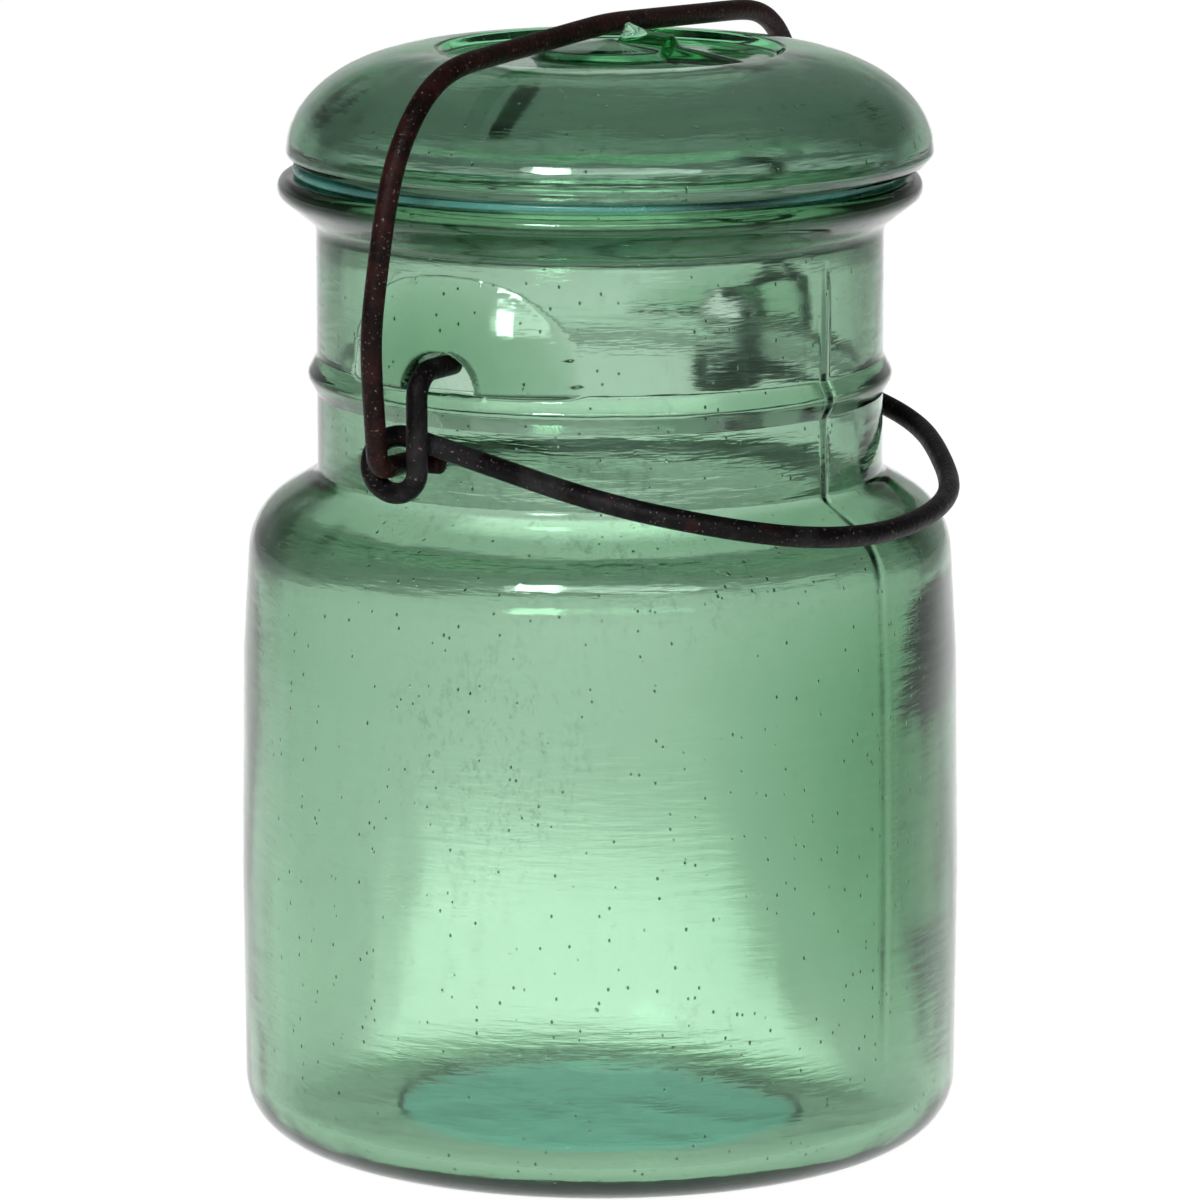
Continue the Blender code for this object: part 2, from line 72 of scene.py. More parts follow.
class JarSizes(bpy.types.PropertyGroup):
    """Sizes of the jar, in metres, and its glass."""

    body_radius: bpy.props.FloatProperty(
        name="Body radius", description="Widest radius of the body", default=44.05 * MM,
        unit="LENGTH")
    neck_radius: bpy.props.FloatProperty(
        name="Neck radius", description="Outer radius of the neck", default=34.5 * MM,
        unit="LENGTH")
    bead_radius: bpy.props.FloatProperty(
        name="Bead radius", description="Outer radius of the bead", default=35.75 * MM,
        unit="LENGTH")
    flange_radius: bpy.props.FloatProperty(
        name="Flange radius", description="Outer radius of the flange", default=39.2 * MM,
        unit="LENGTH")
    wall: bpy.props.FloatProperty(
        name="Wall", description="Thickness of the body wall", default=3.0 * MM, unit="LENGTH")
    waviness: bpy.props.FloatProperty(
        name="Waviness", description="How far the inner wall wanders from true",
        default=0.16 * MM, unit="LENGTH")
    glass: bpy.props.FloatVectorProperty(
        name="Glass", description="Colour that the glass lets through",
        default=(0.36, 0.63, 0.43), subtype="COLOR", size=3, min=0.0, max=1.0)
    depth: bpy.props.FloatProperty(
        name="Depth of colour", description="How strongly the glass takes up light, per metre",
        default=290.0, min=0.0)


class LidSizes(bpy.types.PropertyGroup):
    """Sizes of the lid and its ridge, in metres."""

    radius: bpy.props.FloatProperty(
        name="Radius", description="Outer radius of the lid", default=39.35 * MM, unit="LENGTH")
    recess_radius: bpy.props.FloatProperty(
        name="Recess radius", description="Radius of the recess in the top", default=21.3 * MM,
        unit="LENGTH")
    button_radius: bpy.props.FloatProperty(
        name="Button radius", description="Radius of the raised button", default=9.6 * MM,
        unit="LENGTH")
    ridge_width: bpy.props.FloatProperty(
        name="Ridge width", description="Width of the ridge at its foot", default=3.2 * MM,
        unit="LENGTH")
    glass: bpy.props.FloatVectorProperty(
        name="Glass", description="Colour that the glass lets through",
        default=(0.35, 0.735, 0.49), subtype="COLOR", size=3, min=0.0, max=1.0)
    depth: bpy.props.FloatProperty(
        name="Depth of colour", description="How strongly the glass takes up light, per metre",
        default=125.0, min=0.0)


class WireSizes(bpy.types.PropertyGroup):
    """Sizes and colours of the two wires."""

    radius: bpy.props.FloatProperty(
        name="Wire radius", description="Radius of both wires", default=1.3 * MM, unit="LENGTH")
    lever_colour: bpy.props.FloatVectorProperty(
        name="Lever", description="Dark iron of the lever wire", default=(0.0035, 0.0028, 0.003),
        subtype="COLOR", size=3, min=0.0, max=1.0)
    bail_colour: bpy.props.FloatVectorProperty(
        name="Bail", description="Brown iron of the bail wire", default=(0.0050, 0.0022, 0.0020),
        subtype="COLOR", size=3, min=0.0, max=1.0)
    rust: bpy.props.FloatVectorProperty(
        name="Rust", description="Rust on both wires", default=(0.026, 0.0075, 0.0055),
        subtype="COLOR", size=3, min=0.0, max=1.0)


class StageSettings(bpy.types.PropertyGroup):
    """Camera, floor and lights."""

    distance: bpy.props.FloatProperty(
        name="Distance", description="Level distance from the jar's axis to the camera",
        default=0.95, unit="LENGTH")
    height: bpy.props.FloatProperty(
        name="Height", description="Height of the camera", default=0.248, unit="LENGTH")
    heading: bpy.props.FloatProperty(
        name="Heading", description="Turn of the view about the jar", default=math.radians(59.0),
        subtype="ANGLE")
    pitch: bpy.props.FloatProperty(
        name="Pitch", description="How far the camera looks down", default=math.radians(10.8677),
        subtype="ANGLE")
    lens: bpy.props.FloatProperty(
        name="Lens", description="Focal length in millimetres", default=236.6)


# Shapes shared by the pieces

def arc_corner(before, corner, after, radius, step):
    """Arc of the given radius that touches both edges of a corner: centre plus start vector
    times cosine plus tangent times sine, over the corner's turn."""
    back = (before - corner) / np.linalg.norm(before - corner)
    ahead = (after - corner) / np.linalg.norm(after - corner)
    half_turn = 0.5 * (math.pi - math.acos(np.clip(back @ ahead, -1.0, 1.0)))
    middle = (back + ahead) / np.linalg.norm(back + ahead)
    centre = corner + middle * (radius / math.cos(half_turn))
    start = corner + back * radius * math.tan(half_turn) - centre
    count = max(3, math.ceil(2.0 * half_turn / step))
    angle = np.linspace(0.0, 2.0 * half_turn, count + 1)[:, None]
    return centre + start * np.cos(angle) - back * radius * np.sin(angle)


def rounded_path(corners, step=math.radians(9.0)):
    """Path through (point, radius) corners with each inner corner rounded."""
    points = [np.array(point, float) for point, _ in corners]
    parts = [points[0][None]]
    for index in range(1, len(points) - 1):
        radius = corners[index][1]
        if radius > 0.0:
            before, corner, after = points[index - 1:index + 2]
            parts.append(arc_corner(before, corner, after, radius, step))
        else:
            parts.append(points[index][None])
    parts.append(points[-1][None])
    return np.vstack(parts)


def evened(path, spacing):
    """The same path with points added so that none lie further apart than the spacing."""
    lengths = np.linalg.norm(np.diff(path, axis=0), axis=1)
    counts = np.maximum(1, np.ceil(lengths / spacing)).astype(int)
    parts = [
        start + (end - start) * np.arange(count)[:, None] / count
        for start, end, count in zip(path[:-1], path[1:], counts)
    ]
    return np.vstack(parts + [path[-1:]])


def surface_mesh(name, points, poles):
    """Mesh of a grid of points (rows, columns, 3) closed round its columns. With poles, the first
    and last rows are single points; without, the last row joins the first."""
    rows, columns = points.shape[:2]
    around = np.arange(columns)
    following = (around + 1) % columns
    if poles:
        inner = points[1:-1].reshape(-1, 3)
        verts = np.vstack([points[:1, 0], inner, points[-1:, 0]])
        start = 1 + np.arange(rows - 3)[:, None] * columns
        above = start + columns
        quads = np.stack([
            start + around, start + following, above + following, above + around,
        ], axis=-1).reshape(-1, 4)
        last = len(verts) - 1
        final = 1 + (rows - 3) * columns
        fans = np.vstack([
            np.stack([np.zeros_like(around), 1 + following, 1 + around], axis=-1),
            np.stack([np.full_like(around, last), final + around, final + following], axis=-1),
        ])
        faces = quads.tolist() + fans.tolist()
    else:
        verts = points.reshape(-1, 3)
        start = np.arange(rows)[:, None] * columns
        after = (np.arange(rows)[:, None] + 1) % rows * columns
        faces = np.stack([
            start + around, start + following, after + following, after + around,
        ], axis=-1).reshape(-1, 4).tolist()
    mesh = bpy.data.meshes.new(name)
    mesh.from_pydata(verts.tolist(), [], faces)
    mesh.update()
    return mesh


def within(points, node):
    """The points with each coordinate held between the lowest and highest of a CAD node."""
    low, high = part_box(node)
    return np.clip(points, low, high)


def outward(mesh):
    """Turns the faces over if the mesh holds a negative volume, so that they point out."""
    mesh.calc_loop_triangles()
    triangles = np.empty(len(mesh.loop_triangles) * 3, np.int32)
    mesh.loop_triangles.foreach_get("vertices", triangles)
    coords = np.empty(len(mesh.vertices) * 3)
    mesh.vertices.foreach_get("co", coords)
    corners = coords.reshape(-1, 3)[triangles.reshape(-1, 3)]
    volume = np.einsum("ij,ij->i", corners[:, 0], np.cross(corners[:, 1], corners[:, 2])).sum()
    if volume < 0.0:
        mesh.flip_normals()


def add_piece(name, mesh, material, body, node):
    """Smooth piece that rides on a body and stands for a CAD node."""
    outward(mesh)
    mesh.shade_smooth()
    piece = bpy.data.objects.new(name, mesh)
    mesh.materials.append(material)
    bpy.context.scene.collection.objects.link(piece)
    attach(piece, body)
    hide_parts(node)
    return piece


def turned(profile, angles, centre=(0.0, 0.0)):
    """Surface of revolution: the profile's radius times cosine and sine of the angle, at the
    profile's height."""
    radius = profile[:, 0][:, None]
    height = np.broadcast_to(profile[:, 1][:, None], (len(profile), len(angles)))
    return np.stack([
        centre[0] + radius * np.cos(angles), centre[1] + radius * np.sin(angles), height,
    ], axis=-1)


def ripple(angle, height, seed):
    """Slow waves over a wall, from -1 to 1: a sum of sines of whole turns of the angle, each
    shifted by a sine of the height."""
    rng = np.random.default_rng(seed)
    total = np.zeros(np.broadcast(angle, height).shape)
    for turns in (2, 3, 5, 7, 9, 12):
        phase, drift = rng.uniform(0.0, math.tau, 2)
        rate = rng.uniform(20.0, 75.0)
        shift = phase + 0.8 * np.sin(rate * height + drift)
        total = total + np.sin(turns * angle + shift) / turns ** 0.5
    return total / 3.0


# Materials

def new_material(name):
    """Empty node material, with its nodes and links."""
    material = bpy.data.materials.new(name)
    material.use_nodes = True
    nodes = material.node_tree.nodes
    nodes.clear()
    return material, nodes, material.node_tree.links


def node(nodes, kind, **inputs):
    """Node of a kind with some of its sockets set; words with an underscore stand for spaces."""
    made = nodes.new(kind)
    for key, value in inputs.items():
        made.inputs[key.replace("_", " ")].default_value = value
    return made


def ramp(nodes, links, source, low, high, least=0.0, most=1.0, kind="LINEAR"):
    """Output that goes from least to most while the source goes from low to high."""
    made = nodes.new("ShaderNodeMapRange")
    made.interpolation_type = kind
    for key, value in (("From Min", low), ("From Max", high), ("To Min", least), ("To Max", most)):
        made.inputs[key].default_value = value
    links.new(source, made.inputs["Value"])
    return made.outputs["Result"]


def blend(nodes, links, factor, first, second):
    """Output of a colour mix; each colour is either three numbers or another output."""
    made = nodes.new("ShaderNodeMix")
    made.data_type = "RGBA"
    links.new(factor, made.inputs["Factor"])
    for key, colour in (("A", first), ("B", second)):
        if isinstance(colour, bpy.types.NodeSocket):
            links.new(colour, made.inputs[key])
        else:
            made.inputs[key].default_value = (*colour, 1.0)
    return made.outputs["Result"]


def reckon(nodes, links, operation, *values):
    """Output of a sum of arithmetic; each value is either a number or another output."""
    made = nodes.new("ShaderNodeMath")
    made.operation = operation
    for index, value in enumerate(values):
        if isinstance(value, bpy.types.NodeSocket):
            links.new(value, made.inputs[index])
        else:
            made.inputs[index].default_value = value
    return made.outputs["Value"]


def stretched(nodes, links, place, scale):
    """Object coordinates with each axis scaled."""
    made = nodes.new("ShaderNodeMapping")
    made.inputs["Scale"].default_value = scale
    links.new(place.outputs["Object"], made.inputs["Vector"])
    return made.outputs["Vector"]


def glass_material(name, colour, depth, striation):
    """Old pressed glass: coloured in depth, with seed bubbles, streaks, grime and a soft wave."""
    material, nodes, links = new_material(name)
    output = nodes.new("ShaderNodeOutputMaterial")
    shader = node(nodes, "ShaderNodeBsdfPrincipled", IOR=1.52, Transmission_Weight=1.0)
    shader.inputs["Specular Tint"].default_value = (0.72, 1.0, 0.82, 1.0)
    absorb = node(nodes, "ShaderNodeVolumeAbsorption", Density=depth)
    absorb.inputs["Color"].default_value = (*colour, 1.0)
    place = nodes.new("ShaderNodeTexCoord")
    upright = stretched(nodes, links, place, (1.0, 1.0, 0.7))

    wave = node(nodes, "ShaderNodeTexNoise", Scale=55.0, Detail=2.0, Roughness=0.45)
    links.new(stretched(nodes, links, place, (1.0, 1.0, 0.45)), wave.inputs["Vector"])
    streak = node(nodes, "ShaderNodeTexNoise", Scale=900.0, Detail=3.0, Roughness=0.6)
    links.new(stretched(nodes, links, place, striation), streak.inputs["Vector"])

    seeds = node(nodes, "ShaderNodeTexVoronoi", Scale=850.0)
    links.new(upright, seeds.inputs["Vector"])
    split = nodes.new("ShaderNodeSeparateColor")
    links.new(seeds.outputs["Color"], split.inputs["Color"])
    dot = ramp(nodes, links, seeds.outputs["Distance"], 0.07, 0.15, 1.0, 0.0)
    chosen = reckon(nodes, links, "GREATER_THAN", split.outputs["Red"], SEEDS_ABOVE)
    speck = reckon(nodes, links, "MULTIPLY", dot, chosen)

    grime = node(nodes, "ShaderNodeTexNoise", Scale=600.0, Detail=5.0, Roughness=0.8)
    links.new(upright, grime.inputs["Vector"])
    zone = node(nodes, "ShaderNodeTexNoise", Scale=24.0, Detail=1.0)
    links.new(place.outputs["Object"], zone.inputs["Vector"])
    dirt = reckon(
        nodes, links, "MULTIPLY",
        ramp(nodes, links, grime.outputs["Fac"], 0.54, 0.68, 0.0, 0.42),
        ramp(nodes, links, zone.outputs["Fac"], 0.49, 0.66))
    marks = reckon(nodes, links, "MAXIMUM", speck, dirt)
    links.new(
        blend(nodes, links, marks, (0.97, 1.0, 0.985), (0.05, 0.09, 0.06)),
        shader.inputs["Base Color"])
    links.new(
        ramp(nodes, links, streak.outputs["Fac"], 0.35, 0.75, 0.04, 0.15),
        shader.inputs["Roughness"])

    relief = reckon(
        nodes, links, "MULTIPLY_ADD", streak.outputs["Fac"], 0.10, wave.outputs["Fac"])
    bump = node(nodes, "ShaderNodeBump", Strength=0.6, Distance=0.6 * MM)
    links.new(reckon(nodes, links, "MULTIPLY_ADD", speck, -0.25, relief), bump.inputs["Height"])
    links.new(bump.outputs["Normal"], shader.inputs["Normal"])
    links.new(shader.outputs["BSDF"], output.inputs["Surface"])
    links.new(absorb.outputs["Volume"], output.inputs["Volume"])
    return material


def ring_material():
    """Thin translucent gasket, dark teal with a faint grain, with bright teal stretches painted in
    as light coming through the seam.
    """
    material, nodes, links = new_material("ring_gasket")
    output = nodes.new("ShaderNodeOutputMaterial")
    shader = node(nodes, "ShaderNodeBsdfPrincipled", IOR=1.45, Transmission_Weight=0.75)
    place = nodes.new("ShaderNodeTexCoord")
    grain = node(nodes, "ShaderNodeTexNoise", Scale=700.0, Detail=3.0)
    stretch = node(nodes, "ShaderNodeTexNoise", Scale=26.0, Detail=1.0)
    for texture in (grain, stretch):
        links.new(place.outputs["Object"], texture.inputs["Vector"])
    # Painted light: the bright teal stretches stand for light passing through the seam; the dark
    # teal is the gasket's own colour.
    bright = ramp(nodes, links, stretch.outputs["Fac"], 0.44, 0.58)
    links.new(
        blend(nodes, links, bright, (0.02, 0.09, 0.09), (0.28, 0.80, 0.72)),
        shader.inputs["Base Color"])
    links.new(
        ramp(nodes, links, grain.outputs["Fac"], 0.0, 1.0, 0.12, 0.35),
        shader.inputs["Roughness"])
    bump = node(nodes, "ShaderNodeBump", Strength=0.3, Distance=0.2 * MM)
    links.new(grain.outputs["Fac"], bump.inputs["Height"])
    links.new(bump.outputs["Normal"], shader.inputs["Normal"])
    links.new(shader.outputs["BSDF"], output.inputs["Surface"])
    return material


def iron_material(name, colour, rust, rust_share, patina_share):
    """Aged wire: dark iron, patches of rust, grey patina, bright specks that are partly wear and
    partly painted glints, and fine pits.
    """
    material, nodes, links = new_material(name)
    output = nodes.new("ShaderNodeOutputMaterial")
    shader = node(nodes, "ShaderNodeBsdfPrincipled", Specular_IOR_Level=0.09)
    place = nodes.new("ShaderNodeTexCoord")
    blotch = node(nodes, "ShaderNodeTexNoise", Scale=260.0, Detail=5.0, Roughness=0.62)
    grain = node(nodes, "ShaderNodeTexNoise", Scale=1500.0, Detail=4.0, Roughness=0.6)
    patch = node(nodes, "ShaderNodeTexNoise", Scale=95.0, Detail=4.0, Roughness=0.6)
    wear_and_glint = node(nodes, "ShaderNodeTexNoise", Scale=2600.0, Detail=2.0, Roughness=0.5)
    for texture in (blotch, grain, patch, wear_and_glint):
        links.new(place.outputs["Object"], texture.inputs["Vector"])
    rusty = ramp(
        nodes, links, blotch.outputs["Fac"], 0.62 - 0.25 * rust_share, 0.78 - 0.15 * rust_share)
    grey = ramp(
        nodes, links, patch.outputs["Fac"], 0.66 - 0.2 * patina_share, 0.80 - 0.1 * patina_share)
    # Bright specks: partly worn metal, partly painted glints that stand for highlights along the
    # wire.
    bright = ramp(nodes, links, wear_and_glint.outputs["Fac"], 0.66, 0.74)
    base = blend(nodes, links, rusty, colour, rust)
    base = blend(nodes, links, grey, base, (0.026, 0.025, 0.027))
    base = blend(nodes, links, bright, base, (0.15, 0.115, 0.10))
    links.new(base, shader.inputs["Base Color"])
    links.new(
        ramp(nodes, links, blotch.outputs["Fac"], 0.0, 1.0, 0.22, 0.62),
        shader.inputs["Roughness"])
    bump = node(nodes, "ShaderNodeBump", Strength=0.6, Distance=0.25 * MM)
    links.new(grain.outputs["Fac"], bump.inputs["Height"])
    links.new(bump.outputs["Normal"], shader.inputs["Normal"])
    links.new(shader.outputs["BSDF"], output.inputs["Surface"])
    return material


# Jar

def jar_profile(sizes):
    """Half section of the jar, from the middle of its base, up the outside, over the lip and down
    the inside to the middle of its floor. Returns the points and how many lie on the outside."""
    neck, bead, flange = sizes.neck_radius, sizes.bead_radius, sizes.flange_radius
    outside = rounded_path([
        ((0.0, 0.9 * MM), 0.0),
        ((24.2 * MM, 0.8 * MM), 0.35 * MM),
        ((BASE_DISC, 0.2 * MM), 0.35 * MM),
        ((34.5 * MM, 0.0), 0.0),
        ((43.75 * MM, 0.0), 7.0 * MM),
        ((sizes.body_radius, 33.0 * MM), 0.0),
        ((43.7 * MM, 60.0 * MM), 0.0),
        ((42.7 * MM, 77.2 * MM), 8.5 * MM),
        ((neck, 82.0 * MM), 1.6 * MM),
        ((neck, 91.9 * MM), 0.5 * MM),
        ((bead, 94.2 * MM), 1.2 * MM),
        ((neck, 96.5 * MM), 0.5 * MM),
        ((neck, 112.6 * MM), 1.6 * MM),
        ((flange, 116.2 * MM), 1.6 * MM),
        ((flange, 118.5 * MM), 1.4 * MM),
        ((33.3 * MM, 118.5 * MM), 0.5 * MM),
        ((33.3 * MM, 120.9 * MM), 1.1 * MM),
        ((31.6 * MM, 120.9 * MM), 0.0),
    ])
    thick = sizes.wall
    inside = rounded_path([
        ((31.6 * MM, 120.9 * MM), 0.0),
        ((30.6 * MM, 120.9 * MM), 0.7 * MM),
        ((30.6 * MM, 117.0 * MM), 4.0 * MM),
        ((31.8 * MM, 109.0 * MM), 6.0 * MM),
        ((31.8 * MM, 79.6 * MM), 8.0 * MM),
        ((40.1 * MM, 73.9 * MM), 7.5 * MM),
        ((43.7 * MM - thick, 60.0 * MM), 0.0),
        ((44.05 * MM - thick, 33.0 * MM), 0.0),
        ((43.82 * MM - thick, 3.3 * MM), 3.8 * MM),
        ((0.0, 3.5 * MM), 0.0),
    ])
    return evened(outside, 2.0 * MM), evened(inside, 2.4 * MM)


def jar_rows(outside):
    """The outside rows, with closer ones over the bosses and their pockets."""
    close = np.concatenate([
        np.linspace(95.2, 102.2, 30), np.linspace(102.7, 116.0, 24),
    ]) * MM
    on_neck = (outside[:, 1] > 95.0 * MM) & (outside[:, 1] < 116.1 * MM)
    first = np.argmax(on_neck)
    last = len(on_neck) - np.argmax(on_neck[::-1])
    radius = np.interp(close, outside[first - 1:last + 1, 1], outside[first - 1:last + 1, 0])
    middle = np.stack([radius, close], axis=-1)
    return np.vstack([outside[:first], middle, outside[last:]])


def jar_angles():
    """Columns round the jar: close together at both pockets, at -X and +X, and at both seams."""
    half = np.concatenate([
        np.linspace(0.0, 9.5, 26, endpoint=False),
        np.linspace(9.5, 30.0, 18, endpoint=False),
        np.linspace(30.0, 90.0, 22, endpoint=False),
    ])
    seam = SEAM_TURN + np.linspace(-2.6, 2.6, 22)
    quarter = np.concatenate([half, [90.0], 180.0 - half[::-1]])
    quarter = quarter[np.abs(quarter - SEAM_TURN) > 2.7]
    quarter = np.sort(np.concatenate([quarter, seam]))[:-1]
    return np.radians(np.concatenate([quarter, 180.0 + quarter]))


def with_bosses(points, angles):
    """Pushes the neck out to an egg shape at -X and +X and sinks a round-topped pocket into each.
    The egg's radius along each direction is the larger root of its quadratic; a smooth maximum
    joins it to the neck, and a smooth step over the pocket's outline sinks it to a flat plane."""
    height = points[..., 2]
    radius = np.hypot(points[..., 0], points[..., 1])
    cosine = np.abs(np.cos(angles))[None, :]
    sine = np.sin(angles)[None, :]
    centre, reach, half_width, tall = 28.0 * MM, 9.7 * MM, 16.2 * MM, 18.5 * MM
    seat = 96.35 * MM
    rise = np.clip((height - seat) / tall, 0.0, 1.0)
    a = cosine ** 2 / reach ** 2 + sine ** 2 / half_width ** 2
    b = -2.0 * centre * cosine / reach ** 2
    c = centre ** 2 / reach ** 2 + rise ** 2 - 1.0
    root = b * b - 4.0 * a * c
    egg = np.where(root > 0.0, (-b + np.sqrt(np.maximum(root, 0.0))) / (2.0 * a), 0.0)
    soft = 0.55 * MM
    joined = 0.5 * (radius + egg + np.sqrt((radius - egg) ** 2 + soft ** 2))
    excess = np.sqrt((radius - egg) ** 2 + soft ** 2) - np.abs(radius - egg)
    joined = np.where(
        egg > radius - 3.0 * MM, joined - 0.5 * excess * (egg < radius), radius)
    shelf = np.clip((height - (seat - 0.35 * MM)) / (0.8 * MM), 0.0, 1.0)
    shelf = shelf * shelf * (3.0 - 2.0 * shelf)
    pushed = radius + (np.maximum(joined, radius) - radius) * shelf
    across = np.abs(pushed * sine)
    spring, half = 96.4 * MM, 4.8 * MM
    over = np.maximum(height - spring, 0.0)
    inside = half - np.where(height > spring, np.hypot(across, over), across)
    floor = height - 95.9 * MM
    depth = np.clip(np.minimum(inside, floor) / (0.5 * MM) + 0.5, 0.0, 1.0)
    depth = depth * depth * (3.0 - 2.0 * depth)
    plane = 33.0 * MM / cosine.clip(0.2)
    sunk = pushed + (np.minimum(plane, pushed) - pushed) * depth
    band = (height > 94.5 * MM) & (height < 116.2 * MM)
    scale = np.where(band, sunk / radius.clip(1.0e-6), 1.0)
    result = points.copy()
    result[..., 0] *= scale
    result[..., 1] *= scale
    return result


def jar_mesh(sizes):
    """Jar as one turned surface with its outside, lip and inside; the inside and, less, the
    outside wander a little, the wall is thicker to one side, as the square of the cosine of half
    the turn, and two fine mould seams run up the sides near -Y and +Y."""
    outside, inside = jar_profile(sizes)
    outside = jar_rows(outside)
    angles = jar_angles()
    outer = with_bosses(turned(outside, angles), angles)
    inner = turned(inside[1:], angles)
    turn = angles[None, :]
    seam = np.exp(-((np.sin(turn - math.radians(SEAM_TURN)) * 62.0) ** 2))
    height = outside[:, 1][:, None]
    on_side = np.clip((height - 8.0 * MM) / (12.0 * MM), 0.0, 1.0)
    on_side = on_side * np.clip((111.0 * MM - height) / (6.0 * MM), 0.0, 1.0)
    calm = np.clip((92.0 * MM - height) / (8.0 * MM), 0.0, 1.0)
    fading = 0.3 + 0.7 * np.clip((height - 66.0 * MM) / (14.0 * MM), 0.0, 1.0)
    lift = 0.24 * MM * seam * on_side * fading
    lift = lift + 0.05 * MM * ripple(turn, height, 4) * on_side * calm
    stretch = 1.0 + lift / np.maximum(outside[:, 0], 1.0 * MM)[:, None]
    outer[..., :2] *= stretch[..., None]
    low = inside[1:, 1][:, None]
    wide = np.clip(inside[1:, 0][:, None] / (30.0 * MM), 0.0, 1.0) ** 2
    free = np.clip((117.0 * MM - low) / (8.0 * MM), 0.0, 1.0)
    heavy = np.cos(0.5 * (turn + math.radians(64.0))) ** 6
    heavy = heavy * np.clip((low - 8.0 * MM) / (22.0 * MM), 0.0, 1.0)
    heavy = heavy * np.clip((74.0 * MM - low) / (20.0 * MM), 0.0, 1.0)
    drift = sizes.waviness * ripple(turn, low, 11) * wide * free - 2.4 * MM * heavy
    shrink = 1.0 + drift / np.maximum(inside[1:, 0], 1.0 * MM)[:, None]
    inner[..., :2] *= shrink[..., None]
    floor = np.clip((12.0 * MM - low) / (7.0 * MM), 0.0, 1.0)
    swirl = ripple(turn, np.hypot(inner[..., 0], inner[..., 1]) * 2.0, 7)
    inner[..., 2] += 0.10 * MM * swirl * floor * np.sin(np.pi * np.clip(
        inside[1:, 0][:, None] / (30.0 * MM), 0.0, 1.0))
    points = within(np.concatenate([outer, inner]), "glass_jar")
    return surface_mesh("jar_surface", points, poles=True)


class OBJECT_OT_jar(bpy.types.Operator):
    """Adds the jar"""

    bl_idname = "object.preserving_jar_body"
    bl_label = "Glass jar"

    def execute(self, context):
        """Makes the jar's surface and its glass."""
        sizes = context.scene.jar_sizes
        glass = glass_material("jar_glass_old", sizes.glass, sizes.depth, (0.12, 0.12, 1.0))
        add_piece("jar_surface", jar_mesh(sizes), glass, "jar", "glass_jar")
        return {"FINISHED"}


class OBJECT_OT_ring(bpy.types.Operator):
    """Adds the thin sealing ring"""

    bl_idname = "object.preserving_jar_ring"
    bl_label = "Sealing ring"

    def execute(self, context):
        """Makes the ring's surface and its gasket material."""
        low, high = RING_BOX
        bottom, top = low[2], high[2]
        outer = 0.5 * (high[0] - low[0])
        inner = outer - 3.7 * MM
        middle = 0.5 * (inner + outer)
        loop = rounded_path([
            ((middle, bottom), 0.0),
            ((outer, bottom), 0.25 * MM),
            ((outer, top), 0.25 * MM),
            ((inner, top), 0.25 * MM),
            ((inner, bottom), 0.25 * MM),
            ((middle, bottom), 0.0),
        ], step=math.radians(30.0))[:-1]
        angles = np.linspace(0.0, math.tau, 180, endpoint=False)
        points = within(turned(loop, angles), "sealing_ring")
        mesh = surface_mesh("ring_surface", points, poles=False)
        add_piece("ring_surface", mesh, ring_material(), "jar", "sealing_ring")
        return {"FINISHED"}


# Lid

def lid_profile(sizes, bottom):
    """Half section of the lid, from the middle of its underside, a quarter ellipse, down to the
    rim, up the dome, over the recess's edge and across the recess and button to the middle."""
    radius, recess, button = sizes.radius, sizes.recess_radius, sizes.button_radius
    top = bottom + 13.9 * MM
    floor = top - 1.1 * MM
    turn = np.linspace(0.0, 0.5 * math.pi, 30)
    fine = np.linspace(0.0, 0.5 * math.pi, 64)
    vault = np.stack([
        (radius - 4.9 * MM) * np.sin(fine),
        bottom + 1.4 * MM + 9.8 * MM * np.cos(fine),
    ], axis=-1)
    foot = rounded_path([
        (tuple(vault[-1]), 0.0),
        ((radius - 4.65 * MM, bottom), 0.5 * MM),
        ((radius - 1.3 * MM, bottom), 0.0),
    ])
    under = np.vstack([vault[:-1], foot])
    dome = np.stack([
        recess + (radius - recess) * np.cos(turn),
        bottom + 1.4 * MM + 12.5 * MM * np.sin(turn),
    ], axis=-1)
    rim = rounded_path([
        (tuple(under[-1]), 0.0),
        ((radius, bottom + 1.4 * MM), 0.8 * MM),
        (tuple(dome[3]), 0.0),
    ])[1:-1]
    well = rounded_path([
        (tuple(dome[-3]), 0.0),
        ((recess, top), 0.9 * MM),
        ((recess - 1.1 * MM, floor), 0.8 * MM),
        ((button, floor), 0.5 * MM),
        ((button - 0.9 * MM, floor + 1.3 * MM), 0.5 * MM),
        ((0.0, floor + 2.2 * MM), 0.0),
    ])[1:]
    outer = evened(np.vstack([under, rim, dome[3:-2], well[:1]]), 1.1 * MM)
    return np.vstack([outer[:-1], evened(well, 0.4 * MM)])


def with_ridge(points, bottom, centre, sizes):
    """Raises the top along a ridge: a peaked crest at the bar, falling in a curve to the recess
    wall on the lever's side. Across its line it fades as a bell, e to the power of minus the
    distance over the width, raised to 2.6."""
    along = -(points[..., 1] - centre[1])
    across = points[..., 0] - centre[0]
    top = bottom + 13.9 * MM
    stops = np.array([1.35, 2.1, 2.6, 3.4, 5.5, 9.0, 13.0, 17.5, 20.5]) * MM
    crest = np.array([0.0, 2.1, 2.45, 2.2, 1.75, 1.9, 1.45, 0.8, 0.0]) * MM
    height = np.interp(along, stops, crest, left=0.0, right=0.0)
    width = np.array([0.65, 0.65, 0.75, 1.0, 1.5, 1.7, 1.7, 1.6, 1.5]) * MM
    wide = np.interp(along, stops, width)
    bell = np.exp(-(np.abs(across) / (wide * sizes.ridge_width / (3.2 * MM))) ** 2.6)
    upper = points[..., 2] > top - 1.5 * MM
    near = np.hypot(across, points[..., 1] - centre[1]) < sizes.recess_radius
    result = points.copy()
    result[..., 2] += np.where(upper & near, height * bell, 0.0)
    result[..., 2] = np.minimum(result[..., 2], LID_BOX[1][2])
    return result


